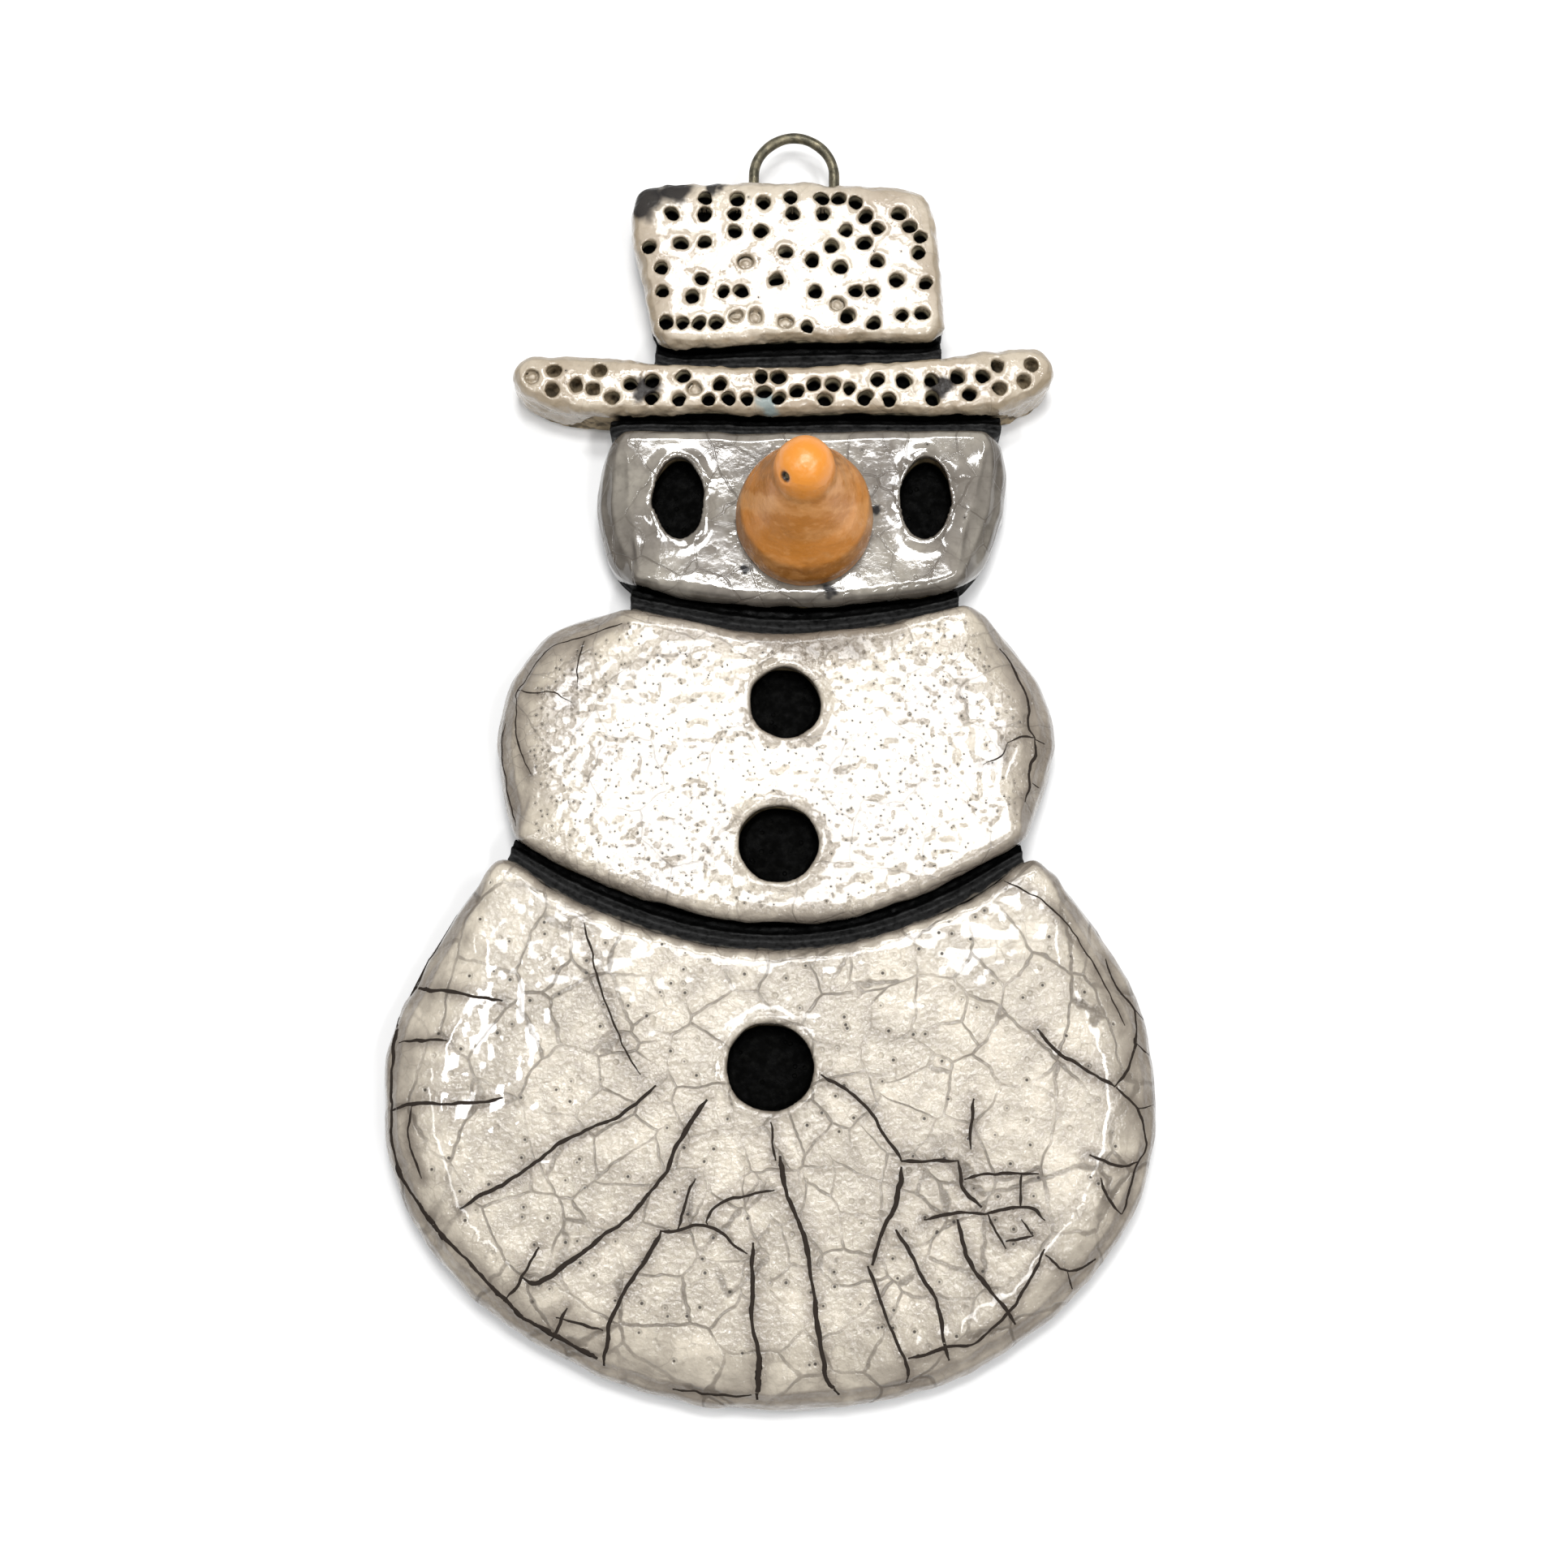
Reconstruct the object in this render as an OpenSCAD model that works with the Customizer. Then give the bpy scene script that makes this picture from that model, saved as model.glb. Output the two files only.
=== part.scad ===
// Flat ceramic snowman ornament: five clay slabs joined edge to edge by bare clay seams, each slab
// under its own coat of crackle glaze, with a pinched carrot nose and a wire hanging loop.
// Millimetres. It lies on its back: +Z out of its face, +Y to the hat, back on z = 0.

/* [Slabs] */
// Thickness of a slab with its glaze
slab_t = 6.4; // [5.5:0.1:8]
// Thickness of the glaze coat
glaze_t = 0.4; // [0.3:0.05:0.5]
// Edge rounding of the snow balls where the outline is free
ball_round = 3; // [2:0.1:3.2]
// Edge rounding of the hat where the outline is free
hat_round = 1.4; // [1.1:0.1:1.4]
// Edge rounding along a seam
seam_round = 0.9; // [0.7:0.1:1]
// Chamfer round the back face
back_chamfer = 0.5; // [0.2:0.1:0.8]
// Height of bare clay left below the glaze on free edges
bare_h = 1.2; // [0.8:0.1:1.8]
// Depth of the grooves between the slabs
groove_depth = 2; // [1.5:0.1:2.5]

/* [Face] */
// Width of an eye pit
eye_w = 4.8; // [4:0.1:5.2]
// Height of an eye pit
eye_h = 7.8; // [6:0.1:8]
// Depth of the eye and button pits
pit_depth = 2.8; // [2:0.1:3.5]
// Radius of the nose at its foot
nose_r = 6.3; // [5.8:0.1:6.4]
// Length of the nose out of the face
nose_l = 15.3; // [13.5:0.1:17]
// Radius of the nose tip
tip_r = 2.7; // [2.3:0.1:3]
// Lean of the nose toward the hat, in degrees
nose_lean = 4.5; // [0:0.5:6]
// Depth that the nose is set into the head's clay
nose_seat = 0.8; // [0.4:0.1:1.2]

/* [Hat] */
// Diameter of the dots poked in the hat
dot_d = 1.4; // [1.2:0.1:1.5]
// Depth of the dots
dot_depth = 1.8; // [1.2:0.1:2.4]

/* [Hanging loop] */
// Diameter of the wire
wire_d = 1; // [0.9:0.05:1.1]
// Outside width of the loop
loop_w = 8.6; // [8:0.1:9]
// How far the loop stands out of the crown
loop_h = 5.9; // [5.4:0.1:6.2]
// Length of each wire leg inside the crown
leg_l = 8; // [6:0.1:10]

/* [Hidden] */
$fn = 48;

per_span = 4;                          // outline steps between two drawn points
round_steps = 3;                       // steps round a slab's front edge
seam_h = slab_t - groove_depth;        // top of the seam clay
pit_floor = slab_t - pit_depth;        // height of the pits' floors
seam_bare_h = slab_t - seam_round - 0.1;  // height of bare clay left below the glaze along a seam
over = 0.5;                            // how far a cutter runs past the face it opens
dot_sides = 10;                        // sides of a poked dot
eye_sides = 48;                        // sides of an eye pit
tip_steps = 6;                         // steps round the nose tip

// Outlines, anticlockwise from the left end, or from the crown's top left corner. Each row is
// [x, y, seam]: seam is 1 along a seam and 0 on a free edge.
base_outline = [
    [-30.7, -19.8, 0], [-33.6, -25.8, 0], [-34.4, -32.4, 0], [-33.2, -39.4, 0], [-29.2, -46.6, 0],
    [-22.4, -52.6, 0], [-13.6, -57, 0], [-4.6, -59.2, 0], [4.4, -59.3, 0], [13, -57.8, 0],
    [21, -54.3, 0], [28, -48.4, 0], [32.8, -40.8, 0], [34.4, -32.6, 0], [33.4, -25.2, 0],
    [30.2, -18.6, 0], [26.8, -14, 0.2], [25, -12.1, 0.8], [23.6, -11.2, 1], [21.8, -12, 1],
    [17.6, -14.8, 1], [9.2, -18.2, 1], [0.6, -19.3, 1], [-8.3, -18.2, 1], [-17.6, -14.8, 1],
    [-22.3, -11.9, 1], [-24.1, -11.1, 1], [-25.5, -12.2, 0.8], [-27.2, -14.5, 0.2]
];
chest_outline = [
    [-24.9, 1, 0], [-24.7, -3, 0], [-23.9, -6.6, 0], [-23.3, -8.4, 0.6], [-22.3, -9.5, 1],
    [-18.7, -11.5, 1], [-12.8, -14.1, 1], [-6, -16.2, 1], [1.4, -16.9, 1], [8.3, -16, 1],
    [14.6, -13.7, 1], [19.4, -11.2, 1], [22, -9.8, 1], [23.1, -8.9, 0.7], [23.8, -7.3, 0.1],
    [25.2, -4, 0], [25.8, -0.4, 0], [25.4, 3.2, 0], [24.2, 6.2, 0], [21.8, 9.4, 0],
    [19.4, 11.7, 0.6], [17.8, 12.4, 1], [16, 12, 1], [9.4, 10.5, 1], [2.2, 9.7, 1], [-4, 10.2, 1],
    [-9.4, 11.4, 1], [-13.6, 12.2, 0.6], [-16.9, 11.7, 0], [-19.9, 10.4, 0], [-22.4, 8, 0],
    [-24.2, 4.8, 0]
];
head_outline = [
    [-15.8, 19.7, 0], [-14.7, 16.7, 0], [-13.4, 15, 0.6], [-11.8, 14.2, 1], [-7, 13.2, 1],
    [-1.6, 12.5, 1], [3.4, 12.3, 1], [8.6, 12.7, 1], [14, 13.4, 1], [17.2, 14.3, 1],
    [18.7, 15.6, 0.5], [20.3, 17.9, 0], [21.6, 21.2, 0], [21.9, 24.6, 0], [21.6, 27, 0.4],
    [20.6, 28.5, 0.9], [18.8, 29.1, 1], [12, 29, 1], [3, 28.8, 1], [-6, 28.8, 1], [-12.6, 29.1, 1],
    [-14.2, 28.5, 0.9], [-15.3, 26.9, 0.4], [-16, 23.6, 0]
];
brim_outline = [
    [-24, 34.6, 0], [-23.5, 33.2, 0], [-22, 32.1, 0], [-18.6, 31, 0.1], [-15.4, 30.7, 1],
    [-6, 30.8, 1], [0, 30.6, 1], [7, 30.8, 1], [15, 30.7, 1], [20.6, 31, 0.9], [23.4, 31.8, 0],
    [25.4, 33.2, 0], [26.3, 34.9, 0], [25.6, 36.5, 0], [23.9, 37.1, 0], [20.2, 36.8, 0],
    [17, 36.4, 0.2], [14, 36, 1], [9.4, 35.6, 1], [1.6, 35.2, 1], [-5.6, 35.2, 1], [-10, 35.6, 1],
    [-13, 36, 0.1], [-17.6, 36.3, 0], [-21.6, 36.4, 0], [-23.3, 35.9, 0]
];
crown_outline = [
    [-11.9, 52.9, 0], [-13, 51.4, 0], [-13, 48.6, 0], [-12.1, 44.4, 0], [-11.3, 40.4, 0],
    [-10.8, 38.6, 0.8], [-9.6, 37.4, 1], [-6.6, 37.2, 1], [0, 37.7, 1], [8, 37.8, 1],
    [14.2, 37.8, 1], [15.8, 38.6, 0.9], [16.2, 40.4, 0.2], [15.9, 44.2, 0], [15.6, 48.8, 0],
    [15.1, 51.3, 0], [13.5, 52.8, 0], [9.6, 53.3, 0], [3, 53.6, 0], [-3.4, 53.6, 0], [-9, 53.4, 0]
];

// Bands that the seams fill: each lies over the gap between two slabs and is cut back to it
waist_band = [[-22.9, -8], [-24, -12], [-18, -19], [0, -24], [18, -19], [23, -12], [22.6, -8.4], [0, -12]];
neck_band = [[-12.9, 15.4], [-12.9, 11], [-6, 8], [8, 8], [17.3, 11.4], [17.4, 15.4], [0, 18]];
brim_band = [[-15, 32], [-15, 29.3], [-13.4, 28], [20.2, 28], [21.5, 29.4], [21.5, 32]];
crown_band = [[-10.7, 39], [-11.1, 33.6], [16.2, 33.6], [15.9, 39], [0, 40]];

eyes = [[-8.4, 22.4], [14.3, 22.4]];
nose_at = [3.1, 20.4];
// Buttons as [x, y, radius]
chest_buttons = [[1.3, 3.1, 3.3], [0.8, -9.8, 3.6]];
base_button = [0, -29.8, 3.9];

// Dots as rows of [y, [x of each dot]]
crown_dots = [
    [51.6, [-6.2, -3.1, 1.8, 4.8, 6.3]], [51.2, [-0.7, 7.9]], [50.1, [-9.4, -6.2, -3.4, 2, 4.8, 12]],
    [49.9, [8.9]], [48.9, [13]], [48.6, [10]], [48.4, [-3.4, -1, 7.1]], [47.8, [14]],
    [47.2, [-8.4, -6.2, 8.8]],
    [46.8, [-11.3, 5.6]], [46.2, [1.4, 13.9]], [45.4, [-2.3, 3.9, 9.8]], [44.8, [-10.2, 6.5]],
    [43.6, [-6.5, 0.5, 11.8]], [43.2, [14.5]], [42.4, [-10.1, -4.4, -2.7, 4.1, 7.9, 9.5]],
    [41.9, [-7.3]], [41.2, [6.2]], [40.2, [14.1]], [40, [-3.3, -1.4, 7.1, 12.3]],
    [39.3, [-9.8, -8.2, -6.6, -5, 1.4, 9.6]], [38.9, [3.4]]
];
brim_dots = [
    [35.2, [21, 24.2]], [34.7, [-20.1, -15.9]], [34.1, [-22.1, -8.2, -0.9, 0.7, 17.2, 19.6]],
    [33.7, [-10.9, 9.9, 12.3, 14.8, 23.4]], [33.3, [-18, -13, -4.7, 3.9, 5.7]],
    [32.9, [-20.2, -16.4, -7.1, 7.3, 21.1]], [32.6, [-0.6, 2.4]], [32.4, [18.4]],
    [32, [-14.7, -11, -3.9, 0.8, 8.8, 15]], [31.9, [-8.5, -5.7, -2.1, 5, 11]]
];

loop_at = [2.2, 53.6 + loop_h];        // top of the loop, out of the crown's top edge
loop_r = (loop_w - wire_d) / 2;        // bend radius of the wire's centreline
loop_z = slab_t / 2;

nose_foot = -glaze_t - nose_seat;      // foot of the nose, below the face
// Nose profile above the face as [radius, height], up to where the round tip begins
nose_side = [
    [nose_r, 0], [nose_r, 0.08 * nose_l], [0.94 * nose_r, 0.22 * nose_l], [0.81 * nose_r, 0.38 * nose_l],
    [0.62 * nose_r, 0.56 * nose_l], [0.46 * nose_r, 0.72 * nose_l]
];

function wrapped(list, i) = list[(i + len(list)) % len(list)];
function spline(a, b, c, d, t) =
    0.5 * (2 * b + (c - a) * t + (2 * a - 5 * b + 4 * c - d) * t * t + (3 * b - a - 3 * c + d) * t * t * t);
function smoothed(rows) = [
    for (i = [0 : len(rows) - 1]) for (k = [0 : per_span - 1])
        spline(wrapped(rows, i - 1), rows[i], wrapped(rows, i + 1), wrapped(rows, i + 2), k / per_span)
];
function flat(rows) = [for (p = rows) [p[0], p[1]]];
function unit(v) = v / norm(v);
function inward(rows, i) =
    let (t = unit(wrapped(rows, i + 1) - wrapped(rows, i - 1))) [-t[1], t[0]];

function seam_share(row) = min(1, max(0, row[2]));
function edge_round(row, free_round) = free_round + (seam_round - free_round) * seam_share(row);
function glaze_foot(row) = bare_h + (seam_bare_h - bare_h) * seam_share(row);

// A ring of points: each outline point moved inward by inset[i], at height z[i]
function ring(rows, inset, z) = [
    for (i = [0 : len(rows) - 1])
        let (p = flat(rows), n = inward(p, i)) [p[i][0] + n[0] * inset[i], p[i][1] + n[1] * inset[i], z[i]]
];
function level(rows, inset, z) = ring(rows, [for (p = rows) inset], [for (p = rows) z]);
function foot_ring(rows, inset) = ring(rows, [for (p = rows) inset], [for (p = rows) glaze_foot(p)]);
// Rings round the front edge of a slab whose skin has been taken off to a depth of skin
function edge_rings(rows, free_round, skin) = [
    for (k = [0 : round_steps])
        let (a = 90 * k / round_steps)
        ring(
            rows,
            [for (p = rows) let (r = edge_round(p, free_round)) r - (r - skin) * cos(a)],
            [for (p = rows) let (r = edge_round(p, free_round)) slab_t - r + (r - skin) * sin(a)]
        )
];
function reversed(list) = [for (i = [len(list) - 1 : -1 : 0]) list[i]];

// A closed solid through the rings. Each end is closed by strips between the two halves of its ring,
// counted from the first point, so the rings start where no strip leaves the outline.
module stack(rings) {
    n = len(rings[0]);
    last = n * (len(rings) - 1);
    points = [for (r = rings) each r];
    sides = [
        for (j = [0 : n : last - n]) for (i = [0 : n - 1])
            let (k = (i + 1) % n, a = j, b = j + n)
            each [[a + i, b + k, a + k], [a + i, b + i, b + k]]
    ];
    strips = [
        for (i = [0 : n / 2 - 1])
            let (low = [i, i + 1], high = [(n - i) % n, n - i - 1])
            each [
                if (i < n / 2 - 1) [low[0], low[1], high[1]],
                if (i > 0) [low[0], high[1], high[0]]
            ]
    ];
    lids = [for (t = strips) [t[2] + last, t[1] + last, t[0] + last]];
    polyhedron(points, concat(strips, sides, lids));
}

// The clay of a slab, set back under its glaze
module slab(rows, free_round) {
    points = smoothed(rows);
    stack(concat(
        [level(points, back_chamfer, 0), level(points, 0, back_chamfer)],
        [foot_ring(points, 0), foot_ring(points, glaze_t)],
        edge_rings(points, free_round, glaze_t)
    ));
}

// The glaze over a slab's front and edges, down to the bare clay
module glaze(rows, free_round) {
    points = smoothed(rows);
    stack(concat(
        reversed(edge_rings(points, free_round, glaze_t)),
        [foot_ring(points, glaze_t), foot_ring(points, 0)],
        edge_rings(points, free_round, 0)
    ));
}

// Bare clay that fills the gap between two slabs up to the groove's floor
module seam(band, rows_a, rows_b) {
    linear_extrude(seam_h)
        difference() {
            polygon(band);
            polygon(flat(smoothed(rows_a)));
            polygon(flat(smoothed(rows_b)));
        }
}

module pit(at, r) {
    translate([at[0], at[1], pit_floor]) cylinder(r = r, h = pit_depth + over);
}

module eye_pits() {
    outline = [
        for (k = [0 : eye_sides - 1])
            let (a = 360 * k / eye_sides) [eye_w * cos(a), eye_h * sin(a)] / 2
    ];
    for (p = eyes)
        translate([p[0], p[1], pit_floor]) linear_extrude(pit_depth + over) polygon(outline);
}

module dots(rows) {
    for (row = rows) for (x = row[1])
        translate([x, row[0], slab_t - dot_depth]) cylinder(d = dot_d, h = dot_depth + over, $fn = dot_sides);
}

module wire_shape() {
    translate([loop_at[0], loop_at[1] - wire_d / 2 - loop_r, loop_z]) {
        rotate_extrude(angle = 180) translate([loop_r, 0]) circle(d = wire_d);
        for (side = [-1, 1])
            translate([side * loop_r, 0, 0]) rotate([90, 0, 0])
                cylinder(d = wire_d, h = loop_h - wire_d / 2 - loop_r + leg_l);
    }
}

// The nose as a full solid of revolution set into the head, its skin taken off to a depth of skin
module nose_solid(skin) {
    tip_z = nose_l - tip_r;
    tip = [
        for (k = [0 : tip_steps])
            let (a = 90 * k / tip_steps) (tip_r - skin) * [cos(a), sin(a)] + [0, tip_z]
    ];
    side = [for (p = nose_side) [p[0] - skin, p[1]]];
    on_face() rotate_extrude() polygon(concat([[0, nose_foot], [nose_r - skin, nose_foot]], side, tip));
}

// Places a shape on the head's face with the nose's lean
module on_face() {
    translate([nose_at[0], nose_at[1], slab_t]) rotate([-nose_lean, 0, 0]) children();
}

module nose_socket() {
    on_face() translate([0, 0, nose_foot]) cylinder(r = nose_r - glaze_t, h = over - nose_foot);
}

module base_ball() {
    color("#3a3836") difference() {
        slab(base_outline, ball_round);
        pit(base_button, base_button[2]);
    }
}

module chest_ball() {
    color("#3a3836") difference() {
        slab(chest_outline, ball_round);
        for (b = chest_buttons) pit(b, b[2]);
    }
}

module head() {
    color("#3a3836") difference() {
        slab(head_outline, ball_round);
        eye_pits();
        nose_socket();
    }
}

module hat_brim() {
    color("#3a3836") difference() {
        slab(brim_outline, hat_round);
        dots(brim_dots);
    }
}

module hat_crown() {
    color("#3a3836") difference() {
        slab(crown_outline, hat_round);
        dots(crown_dots);
        wire_shape();
    }
}

module waist_seam() { color("#1e1c1b") seam(waist_band, chest_outline, base_outline); }
module neck_seam() { color("#1e1c1b") seam(neck_band, head_outline, chest_outline); }
module brim_seam() { color("#1e1c1b") seam(brim_band, brim_outline, head_outline); }
module crown_seam() { color("#1e1c1b") seam(crown_band, crown_outline, brim_outline); }

module carrot_nose() { color("#5a3a22") nose_solid(glaze_t); }
module hanger_wire() { color("#6e6955") wire_shape(); }

module base_glaze() {
    color("#dcd4c6") difference() {
        glaze(base_outline, ball_round);
        pit(base_button, base_button[2]);
    }
}

module chest_glaze() {
    color("#e4ddd0") difference() {
        glaze(chest_outline, ball_round);
        for (b = chest_buttons) pit(b, b[2]);
    }
}

module head_glaze() {
    color("#bdb6ab") difference() {
        glaze(head_outline, ball_round);
        eye_pits();
        nose_socket();
    }
}

module brim_glaze() {
    color("#e0d8ca") difference() {
        glaze(brim_outline, hat_round);
        dots(brim_dots);
    }
}

module crown_glaze() {
    color("#e6e0d4") difference() {
        glaze(crown_outline, hat_round);
        dots(crown_dots);
    }
}

module nose_glaze() {
    color("#e08c3c") difference() {
        nose_solid(0);
        nose_solid(glaze_t);
        translate([nose_at[0] - 2 * nose_r, nose_at[1] - 2 * nose_r, 0])
            cube([4 * nose_r, 4 * nose_r, slab_t]);
    }
}

base_ball();
chest_ball();
head();
hat_brim();
hat_crown();
waist_seam();
neck_seam();
brim_seam();
crown_seam();
carrot_nose();
hanger_wire();
base_glaze();
chest_glaze();
head_glaze();
brim_glaze();
crown_glaze();
nose_glaze();
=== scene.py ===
"""Looks for the flat ceramic snowman ornament: crackle glaze over smoked clay, a pinched carrot nose
and a wire loop.

Shapes are worked in millimetres in the row frame (+Z out of the face, +Y to the hat) and scaled to
metres at the end. The part itself is the frame, and nothing here changes or moves it.
"""

import math

import bmesh
import bpy
import numpy as np
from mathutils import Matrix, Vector
from mathutils.bvhtree import BVHTree
from mathutils.kdtree import KDTree


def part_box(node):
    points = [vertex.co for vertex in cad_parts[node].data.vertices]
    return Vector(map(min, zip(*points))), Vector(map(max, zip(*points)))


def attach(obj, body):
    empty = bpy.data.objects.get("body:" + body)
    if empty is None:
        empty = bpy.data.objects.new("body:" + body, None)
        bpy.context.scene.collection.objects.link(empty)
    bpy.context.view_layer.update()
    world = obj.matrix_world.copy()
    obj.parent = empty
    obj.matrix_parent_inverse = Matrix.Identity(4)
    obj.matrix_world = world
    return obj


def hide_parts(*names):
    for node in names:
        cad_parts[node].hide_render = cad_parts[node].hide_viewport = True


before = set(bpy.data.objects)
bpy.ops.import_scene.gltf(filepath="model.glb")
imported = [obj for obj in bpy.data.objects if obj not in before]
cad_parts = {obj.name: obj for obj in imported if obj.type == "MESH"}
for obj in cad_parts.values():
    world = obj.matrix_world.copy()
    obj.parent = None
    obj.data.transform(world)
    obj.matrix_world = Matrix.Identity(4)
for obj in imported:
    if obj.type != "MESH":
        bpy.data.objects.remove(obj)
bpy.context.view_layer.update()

MM = 0.001

# All sizes below are in millimetres, except the places and sizes of lights and of the camera.

# Heights in the part: the glaze's foot on a free edge, the clay in the grooves, and about a slab's face
GLAZE_FOOT, GROOVE_FLOOR, FACE = 1.2, 4.4, 6

# The slabs: clay node, glaze node, piece name, glaze voxel, clay voxel
SLABS = [
    ("base_ball", "base_glaze", "base", 0.24, 0.4),
    ("chest_ball", "chest_glaze", "chest", 0.2, 0.36),
    ("head", "head_glaze", "head", 0.16, 0.3),
    ("hat_brim", "brim_glaze", "brim", 0.14, 0.18),
    ("hat_crown", "crown_glaze", "crown", 0.14, 0.18),
]
# The seams: node, slab above (toward the hat), slab below
SEAMS = [
    ("waist_seam", "chest_ball", "base_ball"),
    ("neck_seam", "head", "chest_ball"),
    ("brim_seam", "hat_brim", "head"),
    ("crown_seam", "hat_crown", "hat_brim"),
]

# Soft panels that face straight down, and lamps aimed at AIM: name, place, size, radiance
AIM = (0, -0.02, 0)
PANELS = [
    ("near_panel", (0.006, 0.11, 0.6), (0.158, 0.08), 32),
    ("far_panel", (0, 0.285, 0.6), (0.17, 0.1), 27),
    ("glint_panel", (-0.114, 0.036, 0.6), (0.028, 0.05), 65),
]
LAMPS = [
    ("left_lamp", (-0.33, -0.1, 0.6), (0.3, 0.035), 26),
    ("right_lamp", (0.33, 0, 0.6), (0.26, 0.045), 36),
    ("front_lamp", (0.25, -0.27, 0.6), (0.24, 0.045), 28),
]

CAMERA_PLACE = (0.00124, -0.04978, 0.24207)
CAMERA_TILT = 10.9  # degrees from straight down
CAMERA_LENS, CAMERA_SENSOR, CAMERA_NEAR = 61.3, 36, 0.01
SKY_STRENGTH = 0.32
FLOOR_HALF, FLOOR_DROP = 3.0, 0.0001  # half the paper's width, and how far it lies under the part

# How each slab was worked. drop and rim: how far and over what width the face falls away to its free
# edges. wobble: size and reach of the hand-made shift. relief: size and height of the waves in the
# glaze. lips: height of the pits' floors, then height and width of the lips. beads: filled dots.
# smoke: how dark and how wide the darker band is along the free edges, the grooves and the pits, smoke and
# painted shade together.
# tilt: how much the face rises toward the hat. rolled: the seam along which the face's edge rolls over.
SHAPES = {
    "base": {
        "drop": 1.0, "rim": 5.4, "wobble": (3.2, 0.2), "lips": (3.6, 0.14, 0.6), "beads": [],
        "relief": [(11, 0.08), (4, 0.045), (1.5, 0.02), (0.8, 0.014)],
        "smoke": [(0.55, 3.2), (0.5, 1.6), (0.3, 1.3)],
        "tilt": 0,
        "rolled": "waist_seam",
    },
    "chest": {
        "drop": 0.7, "rim": 4.2, "wobble": (3.2, 0.2), "lips": (3.6, 0.14, 0.6), "beads": [],
        "relief": [(9, 0.05), (2.6, 0.02), (1.1, 0.018), (0.6, 0.02)],
        "smoke": [(0.55, 3.0), (0.6, 1.7), (0.35, 1.4)],
        "tilt": 0,
        "rolled": "waist_seam",
    },
    "head": {
        "drop": 0.8, "rim": 4.4, "wobble": (3.2, 0.2), "lips": (3.6, 0.18, 0.7), "beads": [],
        "relief": [(7, 0.06), (3, 0.035), (1.2, 0.009)],
        "smoke": [(0.6, 2.4), (0.4, 0.9), (0.3, 1.2)],
        "tilt": 0.014,
        "rolled": "neck_seam",
    },
    "brim": {
        "drop": 0.15, "rim": 2.0, "wobble": (1.3, 0.17), "lips": (4.6, 0.06, 0.3),
        "beads": [(-22.1, 34.1), (-7.1, 32.9)],
        "relief": [(5, 0.08), (1.6, 0.04), (0.7, 0.02)],
        "smoke": [(0.3, 1.5), (0.35, 0.9), (0, 1)],
        "tilt": 0,
        "rolled": "brim_seam",
    },
    "crown": {
        "drop": 0.15, "rim": 2.0, "wobble": (1.3, 0.17), "lips": (4.6, 0.06, 0.3),
        "beads": [(-2.3, 45.4), (6.2, 41.2), (-1.4, 40), (1.4, 39.3), (-3.3, 40)],
        "relief": [(5, 0.08), (1.6, 0.04), (0.7, 0.02)],
        "smoke": [(0.3, 1.5), (0.35, 0.9), (0, 1)],
        "tilt": 0,
        "rolled": "crown_seam",
    },
}

# How a face's edge rolls over along its groove: how far and over what width
ROLL_DROP, ROLL_WIDTH = 0.2, 1.2
EDGE_LIP = 0.4  # width along a free edge that falls the full drop
FACE_RAMP = (2.5, 6)  # heights between which a change to the face fades in

# Bare clay: how far it is sunk, its relief as (size, height), and how much it is grown to cut the glaze
CLAY_SINK, CLAY_RELIEF, CUT_GAP = 0.09, [(2.2, 0.05), (0.9, 0.04)], 0.05
BEAD_RADIUS, BEAD_HEIGHT = 0.64, 5  # a ball of glaze that fills a dot, and the height of its middle

# The clay in a groove: how low it is under the upper slab, how tall its ridge is, how far it rises to
# the lower slab, and its relief as (size, height)
SEAM_LEDGE, SEAM_RIDGE, SEAM_RISE = -0.7, 0.9, 1.0
SEAM_RELIEF = [(2.5, 0.12), (0.9, 0.14), (0.45, 0.12)]
SEAM_VOXEL, NOSE_VOXEL = 0.16, 0.14

# The pinhole by the nose's tip: place from the tip, depth and radius; and how far up the tip leans
PIN_PLACE, PIN_DEPTH, PIN_RADIUS = (-2.15, -1.65, -1.1), 0.6, 0.42
TIP_SHIFT = 4.4

# Cracks: step along one, how far it wanders, its height in the glaze and how far it is sunk
STRIDE, WANDER, CRACK_HEIGHT, CRACK_SINK = 0.25, 0.16, 0.05, 0.03

WIRE_SIDES = 16
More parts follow.
